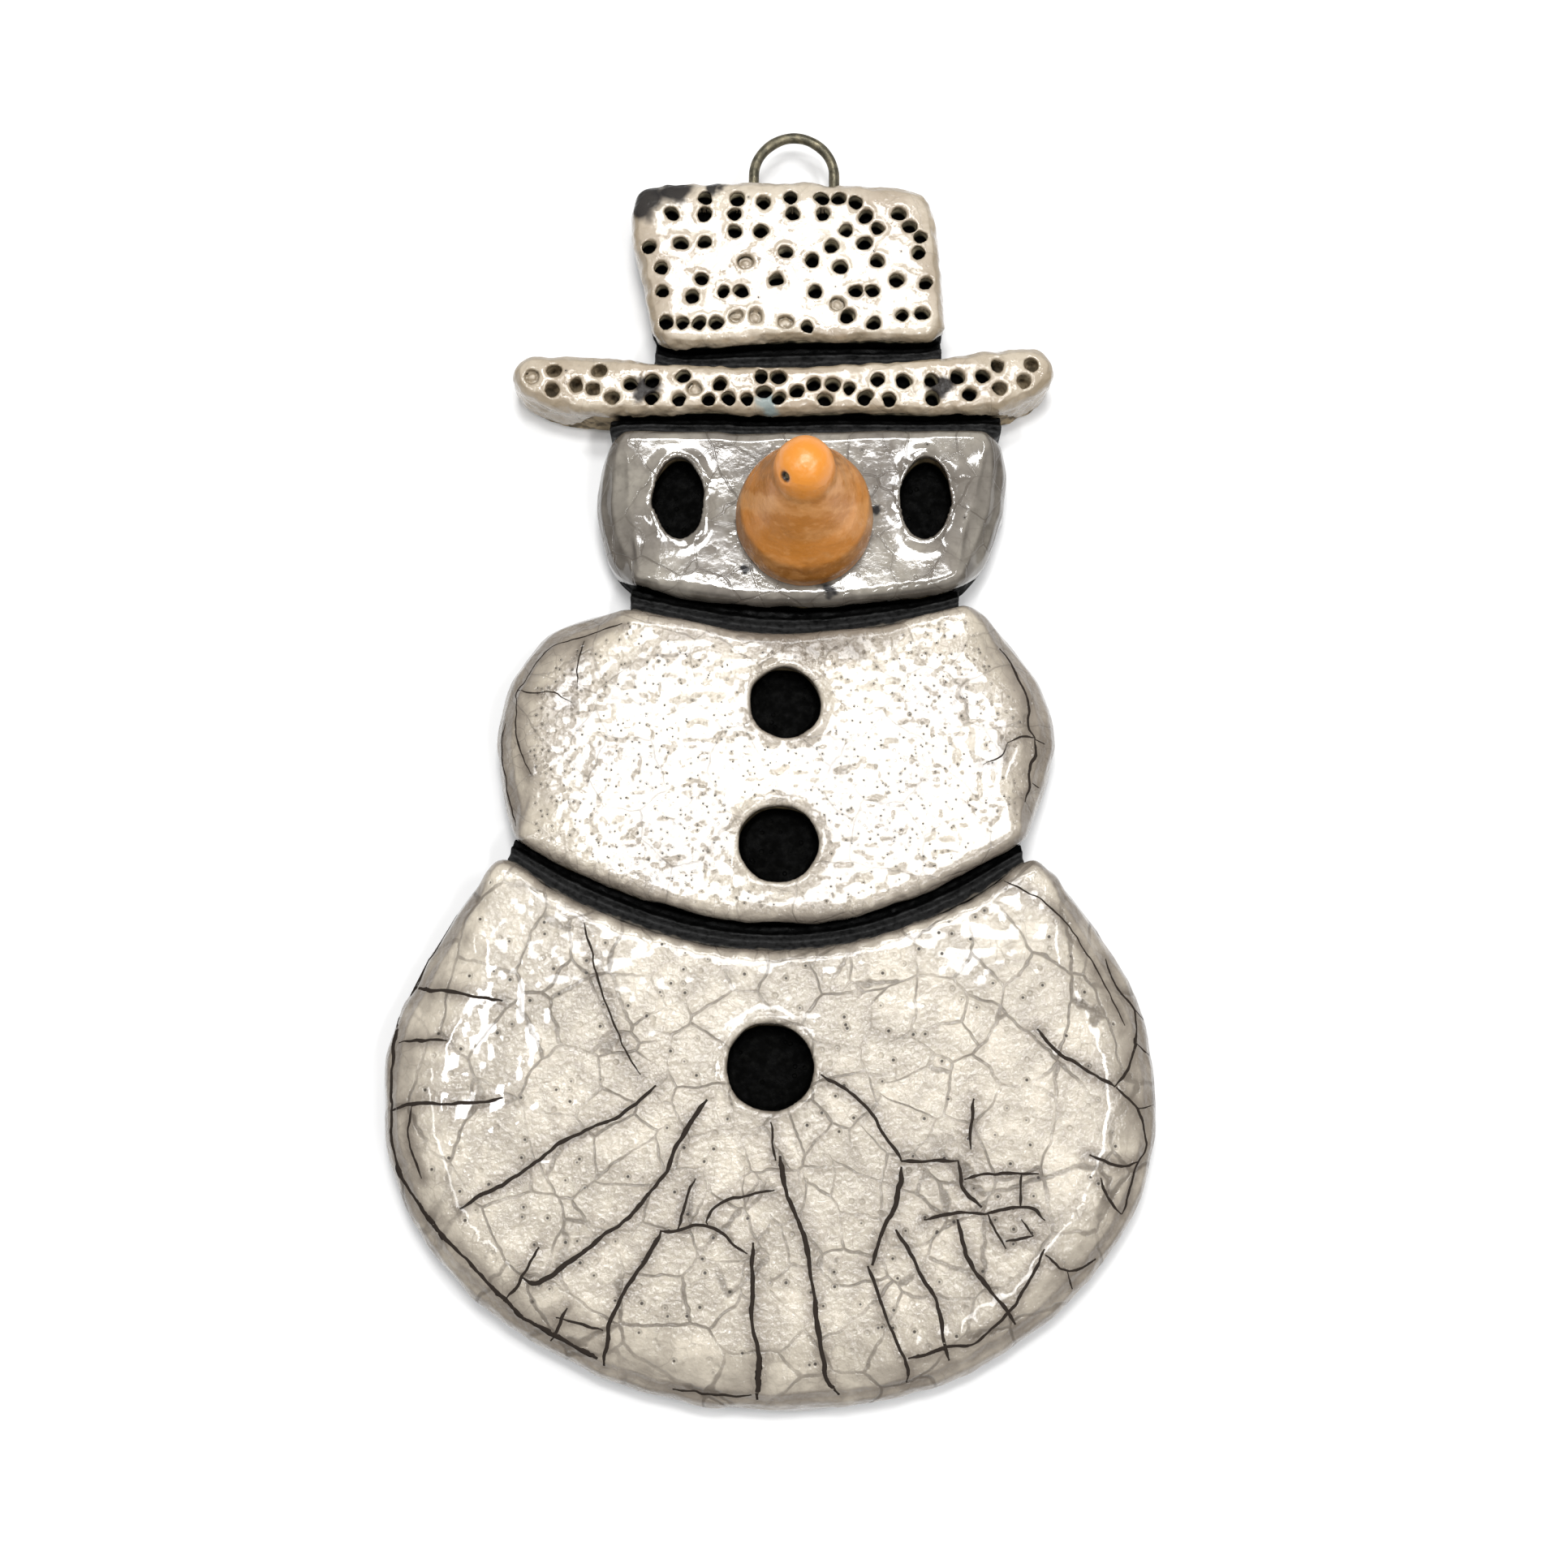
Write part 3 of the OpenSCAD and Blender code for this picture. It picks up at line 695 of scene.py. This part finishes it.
def nose_material(tip):
    """Orange glaze, browner low down, with painted shade below the tip where the pinch turns from the
    light, smeared in arcs round the tip.
    """
    s = Shader("carrot_glaze")
    orange, pale, brown = (0.68, 0.245, 0.028, 1), (0.72, 0.37, 0.14, 1), (0.23, 0.085, 0.01, 1)
    hole = (0.012, 0.009, 0.007, 1)
    # Painted shade: below the tip the glaze is mixed toward brown, where the pinch and the body turn from
    # the light.
    below = s.fade(s.height(), 19.3, 17.6, 0.0, 1.0)
    colour = s.mix(s.math("MULTIPLY", below, 0.58), orange, brown)
    for low, high, share in NOSE_BANDS:
        over, under = s.fade(s.height(), low - 0.8, low), s.fade(s.height(), high, high + 1.2, share, 0.0)
        colour = s.mix(s.math("MULTIPLY", over, under), colour, brown if share > 0.5 else orange)
    away = s.vector("SUBTRACT", s.vector("MULTIPLY", s.mm, (1, 1, 0)), (*tip, 0))
    arcs = s.add("ShaderNodeCombineXYZ")
    s.put(arcs.inputs[2], s.math("MULTIPLY", s.vector("LENGTH", away), 0.75))
    turn = s.vector("MULTIPLY", s.vector("NORMALIZE", away), (0.8, 0.8, 0))
    smears = s.warped(1.5, 0.3, s.vector("ADD", turn, arcs.outputs[0]))
    for shift, share, tint in ((0, 0.55, brown), (7, 0.5, pale)):
        smear = s.fade(s.noise(1, 4, s.vector("ADD", smears, (shift, 0, 3))), 0.48, 0.68)
        colour = s.mix(s.math("MULTIPLY", below, s.math("MULTIPLY", smear, share)), colour, tint)
    colour = s.mix(s.fade(s.noise(0.7, 4), 0.5, 0.75, 0.0, 0.3), colour, pale)
    colour = s.mix(s.stored("pinhole"), colour, hole)
    s.bump(s.noise(1.8, 3, s.warped(3, 0.9, s.vector("MULTIPLY", s.mm, (0.4, 0.4, 1.1)))), 0.08)
    s.bump(s.noise(0.4, 3), 0.04)
    roughness = s.fade(s.noise(1.2, 2), 0.3, 0.7, 0.3, 0.45)
    return s.finish(colour, roughness, Coat_Weight=0.15, Coat_Roughness=0.2)


def wire_material():
    """Oxidised wire with dark specks of scale."""
    s = Shader("oxidised_wire")
    dull, bright, scale = (0.08, 0.073, 0.05, 1), (0.17, 0.15, 0.1, 1), (0.03, 0.027, 0.022, 1)
    colour = s.mix(s.fade(s.noise(0.8, 4), 0.4, 0.65), dull, bright)
    colour = s.mix(s.fade(s.noise(0.3, 2), 0.6, 0.75, 0.0, 0.7), colour, scale)
    s.bump(s.noise(0.25, 3), 0.04)
    return s.finish(colour, s.fade(s.noise(0.7, 2), 0.3, 0.7, 0.38, 0.6), Metallic=0.75)


def plain_material(name, colour, roughness, shine=0.5):
    """One colour, a little uneven."""
    s = Shader(name)
    tint = tuple(0.94 * c for c in colour[:3]) + (1,)
    return s.finish(s.mix(s.noise(60, 2), colour, tint), roughness, Specular_IOR_Level=shine)


# Sweeps: closed tubes along a line, for the wire and the cracks


def smoothed(points, spacing):
    """A smooth line through the points (Catmull-Rom), cut about every spacing."""
    p = np.asarray(points, float)
    p = np.vstack([2 * p[0] - p[1], p, 2 * p[-1] - p[-2]])
    line = []
    for a, b, c, d in zip(p, p[1:], p[2:], p[3:]):
        count = max(2, int(np.linalg.norm(c - b) / spacing))
        for t in np.arange(count) / count:
            cubic = (3 * b - a - 3 * c + d) * t**3
            line.append(0.5 * (2 * b + (c - a) * t + (2 * a - 5 * b + 4 * c - d) * t**2 + cubic))
    return np.array(line + [p[-2]])


def sweep(bm, line, sides, up, section):
    """Adds a closed tube. section gives, for each step, its half width and half height."""
    ahead = np.gradient(line, axis=0)
    ahead /= np.linalg.norm(ahead, axis=1)[:, None]
    across = np.cross(ahead, up)
    across /= np.linalg.norm(across, axis=1)[:, None]
    above = np.cross(across, ahead)
    rings = []
    for p, a, b, (w, h) in zip(line, across, above, section):
        turn = [2 * math.pi * k / sides for k in range(sides)]
        rings.append([bm.verts.new(p + a * w * math.cos(t) + b * h * math.sin(t)) for t in turn])
    for r, q in zip(rings, rings[1:]):
        for k in range(sides):
            bm.faces.new((r[k], r[(k + 1) % sides], q[(k + 1) % sides], q[k]))
    bm.faces.new(rings[0][::-1])
    bm.faces.new(rings[-1])


# Pieces


def hand_made(mesh, shape, edges, seed):
    """Lets a slab's face fall away toward its free edges and its rolled groove, and shifts it sideways by
    a smooth field of place, so that its holes and edges aren't true. edges is the points along each."""
    co = coords(mesh)
    free, groove = (nearest(co[:, :2], points) for points in edges)
    fall = shape["drop"] * (1 - step(free, EDGE_LIP, shape["rim"]))
    fall = np.maximum(fall, ROLL_DROP * (1 - step(groove, 0, ROLL_WIDTH)))
    slope = shape["tilt"] * (co[:, 1] - co[:, 1].mean())
    co[:, 2] -= (fall - slope) * step(co[:, 2], *FACE_RAMP)
    size, reach = shape["wobble"]
    for axis in (0, 1):
        small = 0.5 * reach * wave(co, 0.5 * size, seed + 2 + axis)
        co[:, axis] += reach * wave(co, size, seed + axis) + small
    set_coords(mesh, co)
    return mesh


def slab_clay(node, voxel, shape, edges, seed):
    """The clay of a slab, with its bare faces left rough, and the tool that cuts it out of the glaze."""
    mesh = hand_made(remeshed(gathered(node), voxel), shape, edges, seed)
    tool = pushed(mesh.copy(), CUT_GAP)
    return pushed(mesh, layered(coords(mesh), CLAY_RELIEF, seed + 30) - CLAY_SINK), tool


def bead(centre):
    """A small drawn-out ball of glaze that fills a dot."""
    bm = bmesh.new()
    bmesh.ops.create_icosphere(bm, subdivisions=2, radius=BEAD_RADIUS)
    bmesh.ops.scale(bm, vec=(1, 1, 1.7), verts=bm.verts)
    bmesh.ops.translate(bm, vec=(*centre, BEAD_HEIGHT), verts=bm.verts)
    return finished_mesh(bm, "bead")


def joined(*meshes):
    """The meshes as one, still overlapping."""
    bm = bmesh.new()
    for mesh in meshes:
        bm.from_mesh(mesh)
    return finished_mesh(bm, "joined")


def slab_glaze(clay_node, glaze_node, voxel, shape, edges, tool, seed):
    """The glaze coat of a slab, with its waves and the raised lips round its pits."""
    whole = joined(gathered(clay_node, glaze_node), *[bead(b) for b in shape["beads"]])
    mesh = relaxed(remeshed(whole, voxel), 2)
    floor_height, lip_height, lip_width = shape["lips"]
    away = nearest(coords(mesh)[:, :2], outline_points(clay_node, floor_height))
    hand_made(mesh, shape, edges, seed)
    co = coords(mesh)
    lift = layered(co, shape["relief"], seed + 20) * step(co[:, 2], 3, 5.5) * step(away, 0, 0.5)
    uneven = 0.6 + 0.8 * wave(co, 1.3, seed + 30)
    lip = lip_height * uneven * hump(away, 0.45 * lip_width, lip_width)
    lift += step(normals(mesh)[:, 2], 0.2, 0.8) * lip
    return cut(pushed(mesh, lift), tool)


def seam_clay(node, above, below, seed):
    """Bare clay in a groove: black and low under the upper slab, a worked ridge, then a rough slope up."""
    mesh = relaxed(remeshed(gathered(node), SEAM_VOXEL), 4)
    co = coords(mesh)
    reach = {}
    for n in (above, below):
        tree = face_tree(gathered(n))
        reach[n] = np.array([tree.find_nearest(Vector(p))[3] for p in co])
    t = reach[above] / (reach[above] + reach[below] + 1e-6)
    profile = SEAM_LEDGE + SEAM_RIDGE * hump(t, 0.42, 0.1) + SEAM_RISE * step(t, 0.55, 1.0)
    profile += layered(co, SEAM_RELIEF, seed)
    co[:, 2] += step(co[:, 2], 3.2, 3.9) * profile
    set_coords(mesh, co)
    relaxed(mesh, 2)
    store(mesh, "across", t)
    return mesh


def nose_coat():
    """The nose's glaze, pinched round the cone, with a swelling low down toward the chest and a pinhole."""
    mesh = relaxed(remeshed(gathered("carrot_nose", "nose_glaze"), NOSE_VOXEL), 12)
    co = coords(mesh)
    low, high = (c / MM for c in map(np.array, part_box("nose_glaze")))
    centre = (low + high) / 2
    # Slanting rings from the fingers that turned the clay, from a little above the foot upward
    turn = np.arctan2(co[:, 1] - centre[1], co[:, 0] - centre[0])
    slant = 1.3 * co[:, 2] + 0.25 * (co[:, 0] - centre[0]) + 0.8 * wave(co, 5, 44)
    rings = np.stack([2.5 * np.cos(turn), 2.5 * np.sin(turn), slant], 1)
    above = step(co[:, 2], 7, 9)
    lift = above * (0.05 * wave(rings, 2.8, 40) + 0.02 * wave(rings, 1.1, 41))
    # Lumps all over, and a fuller belly on the side of the chest
    lift = lift + 0.1 * wave(co, 4, 42)
    lift += 0.05 * wave(co, 1.7, 43)
    down = np.clip((centre[1] - co[:, 1]) / 6, 0, 1)
    lift += 0.3 * down * hump(co[:, 2], 8.5, 3)
    pushed(mesh, lift - 0.05)
    tip = co[co[:, 2] > high[2] - 0.3].mean(0)
    pin = tip + PIN_PLACE
    pin = min(coords(mesh), key=lambda p: np.linalg.norm(p - pin))
    gap = np.linalg.norm(coords(mesh) - pin, axis=1)
    pushed(mesh, -PIN_DEPTH * hump(gap, 0, PIN_RADIUS))
    tool = pushed(remeshed(gathered("carrot_nose"), 0.3), 0.03)
    coat = cut(mesh, tool)
    gap = np.linalg.norm(coords(coat) - pin, axis=1)
    store(coat, "pinhole", 1 - step(gap, PIN_RADIUS + 0.03, PIN_RADIUS + 0.23))
    return coat


def loop_wire():
    """The loop and its two legs as one bent wire, a little uneven and bent where it is free."""
    low, high = (np.array(c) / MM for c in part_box("hanger_wire"))
    r = 0.5 * (high[2] - low[2])
    x0, x1 = low[0] + r, high[0] - r
    bend = (x1 - x0) / 2
    centre = (low + high) / 2
    arc_y = high[1] - r - bend
    left = [(x0, y, centre[2]) for y in np.linspace(low[1], arc_y, 8)[:-1]]
    arc = [
        (centre[0] - bend * math.cos(a), arc_y + bend * math.sin(a), centre[2])
        for a in np.linspace(0, math.pi, 24)
    ]
    right = [(x1, y, centre[2]) for y in np.linspace(arc_y, low[1], 8)[1:]]
    line = smoothed(left + arc + right, 0.25)
    size = r * (1 + 0.05 * wave(line, 1.1, 60))
    free = step(line[:, 1], low[1] + 7, low[1] + 9)[:, None]
    line = line + free * 0.06 * np.stack([wave(line, 3, s) for s in (61, 62, 63)], 1)
    bm = bmesh.new()
    sweep(bm, line, WIRE_SIDES, np.array([0, 0, 1.0]), [(s * 0.985, s * 0.985) for s in size])
    return finished_mesh(bm, "loop_wire")


def crack_lines(cracks, coat, seed):
    """Thin dark ribbons that lie in the glaze's surface, and the points that they pass. A crack stops
    where the glaze turns down too steeply."""
    tree = face_tree(coat)
    bm = bmesh.new()
    passed = []
    for i, (width, points) in enumerate(cracks):
        line = smoothed([(x, y, 0) for x, y in points], STRIDE)
        wander = np.stack([wave(line, 1.4, seed + 2 * i), wave(line, 1.4, seed + 2 * i + 1)], 1)
        wander += 0.5 * np.stack([wave(line, 0.6, seed + 2 * i), wave(line, 0.6, seed + 2 * i + 1)], 1)
        line[:, :2] += WANDER * wander
        hits = [tree.ray_cast(Vector((x, y, 20)), Vector((0, 0, -1))) for x, y, _ in line]
        kept = [(np.array(h[0]), np.array(h[1])) for h in hits if h[0] is not None and h[1][2] > 0.15]
        if len(kept) < 4:
            continue
        path = np.array([p for p, _ in kept])
        along = np.arange(len(path)) * STRIDE
        taper = np.clip(np.minimum(along, along[::-1]) / 0.8, 0.35, 1) ** 0.6
        uneven = 0.9 + 0.3 * wave(path, 1.0, seed + 3 * i) + 0.2 * wave(path, 0.35, seed + i)
        up = np.array([n for _, n in kept])
        section = [(w, CRACK_HEIGHT) for w in 1.05 * width * taper * uneven]
        sweep(bm, path - up * CRACK_SINK, 6, up, section)
        passed.append(path)
    return finished_mesh(bm, "cracks"), np.vstack(passed)


def smoke_and_painted_shade(coat, shape, *outlines):
    """How dark the glaze is made, from 0 to 1: smoke and painted shade on its steep parts and in bands
    along the outlines.
    """
    smoke_and_shade = step(1 - normals(coat)[:, 2], 0.02, 0.28)
    for points, (share, width) in zip(outlines, shape["smoke"]):
        band = share * (1 - step(nearest(coords(coat)[:, :2], points), 0.3, width))
        smoke_and_shade = np.maximum(smoke_and_shade, band)
    return smoke_and_shade


def stained_and_shaded_glaze(name, s, colour):
    """The finished material of a glaze, with its stains and, on the chest, painted shade by the neck
    groove.
    """
    for place, radius, stain_and_shade in STAINS_AND_SHADE.get(name, []):
        stained_and_shaded = s.math("MULTIPLY", s.spot((*place, FACE), radius), stain_and_shade[3])
        colour = s.mix(stained_and_shaded, colour, stain_and_shade)
        s.dull = s.math("MAXIMUM", s.dull, stained_and_shaded)
    shine = {
        "Coat_Weight": s.fade(s.dull, 0, 1, 0.4, 0.0),
        "Coat_Roughness": 0.03,
        "Specular_IOR_Level": s.fade(s.dull, 0, 1, 0.5, 0.05),
    }
    return s.finish(colour, s.fade(s.noise(1.3, 3), 0.3, 0.7, 0.06, 0.14), **shine)


def build():
    """All the visible pieces of the part."""
    # The linings stand for thin glaze on the pit walls and also paint the light falling on those walls.
    clay = clay_material("smoked_clay", (0.15, 0.115, 0.065, 1), 4.5)
    hat_clay = clay_material("hat_clay", (0.5, 0.44, 0.3, 1), 4.75)
    crack = plain_material("crack_soot", (0.028, 0.022, 0.018, 1), 0.9, 0.02)
    seam = seam_material()
    coats = {name: glaze_material(name + "_crackle", **glaze) for name, glaze in GLAZES.items()}
    left, right = (c[0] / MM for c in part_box("brim_seam"))
    middle, half = (left + right) / 2, (right - left) / 2
    grooves = np.concatenate([outline_points(node, GROOVE_FLOOR) for node, _, _ in SEAMS])
    for i, (clay_node, glaze_node, name, voxel, clay_voxel) in enumerate(SLABS):
        shape = SHAPES[name]
        rim = outline_points(glaze_node, GLAZE_FOOT)
        edges = rim, outline_points(shape["rolled"], GROOVE_FLOOR)
        seed = 300 + 40 * i
        body, tool = slab_clay(clay_node, clay_voxel, shape, edges, seed)
        coat = slab_glaze(clay_node, glaze_node, voxel, shape, edges, tool, seed)
        smoke = np.zeros(len(coat.vertices))
        if name in CRACKS:
            lines, passed = crack_lines(CRACKS[name], coat, 100 * i + 200)
            smoke = hump(nearest(coords(coat), passed), 0, 0.85)
            piece(name + "_cracks", lines, crack, "smoked_clay")
        for x, y in shape["beads"]:
            off = coords(coat) - (x, y, 0)
            smoke = np.maximum(smoke, hump(np.hypot(off[:, 0], off[:, 1]), 0.6, 0.22))
        store(coat, "smoke", smoke)
        pits = outline_points(clay_node, shape["lips"][0])
        store(coat, "steep", smoke_and_painted_shade(coat, shape, rim, grooves, pits))
        glaze = stained_and_shaded_glaze(name, *coats[name])
        piece(name + "_coat", coat, glaze, SLOTS.get(name, "crackle_glaze"), glaze_node)
        bare = hat_clay if name in ("brim", "crown") else clay
        if name == "brim":
            store(body, "bisque", step(np.abs(coords(body)[:, 0] - middle), half - 1, half))
        piece(name + "_clay", body, bare, "smoked_clay", clay_node)
    for i, (node, above, below) in enumerate(SEAMS):
        piece(node + "_worked", seam_clay(node, above, below, 70 + i), seam, "seam_clay", node)
    foot = [sum(c) / 2 / MM for c in zip(*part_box("nose_glaze"))]
    tip = (foot[0], foot[1] + TIP_SHIFT)
    piece("nose_coat", nose_coat(), nose_material(tip), "orange_glaze", "nose_glaze")
    piece("loop_wire", loop_wire(), wire_material(), "wire", "hanger_wire")
    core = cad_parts["carrot_nose"]
    core.data.materials.clear()
    core.data.materials.append(clay)


def light(name, place, aim, size, radiance):
    """A rectangular area light of that radiance."""
    data = bpy.data.lights.new(name, "AREA")
    data.shape = "RECTANGLE"
    data.size, data.size_y = size
    data.energy = radiance * math.pi * size[0] * size[1]
    obj = bpy.data.objects.new(name, data)
    obj.location = place
    obj.rotation_euler = (Vector(aim) - Vector(place)).to_track_quat("-Z", "Y").to_euler()
    bpy.context.scene.collection.objects.link(obj)


def studio():
    """The camera, the lights, the sky and the white paper under the part."""
    scene = bpy.context.scene
    camera = bpy.data.cameras.new("camera")
    camera.lens, camera.sensor_width = CAMERA_LENS, CAMERA_SENSOR
    camera.clip_start = CAMERA_NEAR
    holder = bpy.data.objects.new("camera", camera)
    holder.location = CAMERA_PLACE
    holder.rotation_euler = (math.radians(CAMERA_TILT), 0, 0)
    scene.collection.objects.link(holder)
    scene.camera = holder

    for name, place, size, radiance in PANELS:
        light(name, place, (place[0], place[1], 0), size, radiance)
    for name, place, size, radiance in LAMPS:
        light(name, place, AIM, size, radiance)

    floor = bpy.data.meshes.new("floor")
    half = FLOOR_HALF
    corners = [(-half, -half, 0), (half, -half, 0), (half, half, 0), (-half, half, 0)]
    floor.from_pydata(corners, [], [(0, 1, 2, 3)])
    table = bpy.data.objects.new("floor", floor)
    table.location.z = -FLOOR_DROP
    floor.materials.append(plain_material("white_paper", (0.9, 0.9, 0.9, 1), 0.9))
    scene.collection.objects.link(table)

    world = bpy.data.worlds.new("studio")
    world.use_nodes = True
    background = world.node_tree.nodes["Background"]
    background.inputs["Color"].default_value = (1, 1, 1, 1)
    background.inputs["Strength"].default_value = SKY_STRENGTH
    scene.world = world
    scene.view_settings.view_transform = "Standard"


studio()
build()
bpy.context.view_layer.update()
